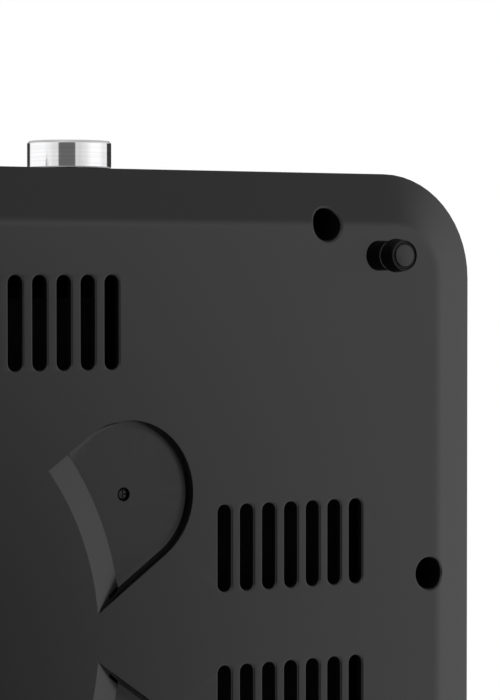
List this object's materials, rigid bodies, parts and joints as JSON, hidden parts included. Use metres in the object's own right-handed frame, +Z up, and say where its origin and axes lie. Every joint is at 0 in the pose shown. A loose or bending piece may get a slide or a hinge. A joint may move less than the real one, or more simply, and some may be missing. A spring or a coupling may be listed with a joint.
{
  "type": "hot plate burner",
  "caption": "Table-top electric hot plate with cast-iron plates in a low steel housing, on a black vented base pan with ramped recesses and rubber feet.",
  "frame": {"origin": "on the table under the middle of the body, level with the ends of the feet", "axes": "+X to the right as a user faces the knobs, -Y towards the user, +Z up"},
  "size_m": [0.5, 0.332, 0.072],
  "materials": {
    "black_shell": "fine satin moulded plastic",
    "foot_rubber": "smooth rubber",
    "housing_steel": "brushed along the width",
    "knob_steel": "turned, fine rings",
    "trim_steel": "polished",
    "plate_iron": "turned and coated",
    "zinc_steel": "zinc plated",
    "shield_steel": "matt black lacquer",
    "black_screw": "blackened",
    "coil_sheath": "heat-tinted sheath",
    "ceramic": "glazed ceramic",
    "insulation": "pressed mineral board",
    "cream_plastic": "heat-resistant moulding",
    "black_plastic": "moulded plastic",
    "marker_white": "filled line",
    "lamp_amber": "clear amber lens",
    "brass": "machined",
    "wire_sleeve": "woven glass sleeve",
    "earth_sleeve": "smooth sleeve",
    "lamp_sleeve": "smooth sleeve"
  },
  "bodies": {
    "body": {"base_pan": "black_shell", "foot_front_left": "foot_rubber", "foot_front_right": "foot_rubber", "foot_rear_left": "foot_rubber", "foot_rear_right": "foot_rubber", "top_housing": "housing_steel", "mounting_brackets": "zinc_steel", "base_screws": "black_screw", "heat_shield": "shield_steel", "shield_screws": "black_screw", "left_hotplate": "plate_iron", "right_hotplate": "plate_iron", "left_trim_ring": "trim_steel", "right_trim_ring": "trim_steel", "left_heating_coil": "coil_sheath", "right_heating_coil": "coil_sheath", "left_insulation_pad": "insulation", "right_insulation_pad": "insulation", "left_plate_cover": "zinc_steel", "right_plate_cover": "zinc_steel", "left_lead_beads": "ceramic", "right_lead_beads": "ceramic", "left_centre_stud": "zinc_steel", "right_centre_stud": "zinc_steel", "left_clamp_bar": "zinc_steel", "right_clamp_bar": "zinc_steel", "clamp_nuts": "zinc_steel", "left_thermal_cutout": "ceramic", "right_thermal_cutout": "ceramic", "left_regulator": "cream_plastic", "right_regulator": "cream_plastic", "regulator_screws": "zinc_steel", "left_lamp_lens": "lamp_amber", "right_lamp_lens": "lamp_amber", "left_lamp_holder": "cream_plastic", "right_lamp_holder": "cream_plastic", "cord_bush": "black_plastic", "terminal_block": "ceramic", "terminal_screws": "brass", "block_screws": "zinc_steel", "earth_stud": "brass", "supply_wiring": "earth_sleeve", "left_wiring": "wire_sleeve", "right_wiring": "wire_sleeve", "lamp_wiring": "lamp_sleeve"},
    "left_control": {"left_control_shaft": "zinc_steel", "left_knob_hub": "black_plastic", "left_knob": "knob_steel", "left_knob_marker": "marker_white"},
    "right_control": {"right_control_shaft": "zinc_steel", "right_knob_hub": "black_plastic", "right_knob": "knob_steel", "right_knob_marker": "marker_white"}
  },
  "joints": [
    {"name": "left_knob_turn", "type": "hinge", "parent": "body", "child": "left_control", "pos_m": [-0.0971, -0.16, 0.043], "axis": [0, 1, 0], "range_deg": [0, 270]},
    {"name": "right_knob_turn", "type": "hinge", "parent": "body", "child": "right_control", "pos_m": [0.0971, -0.16, 0.043], "axis": [0, 1, 0], "range_deg": [0, 270]}
  ]
}
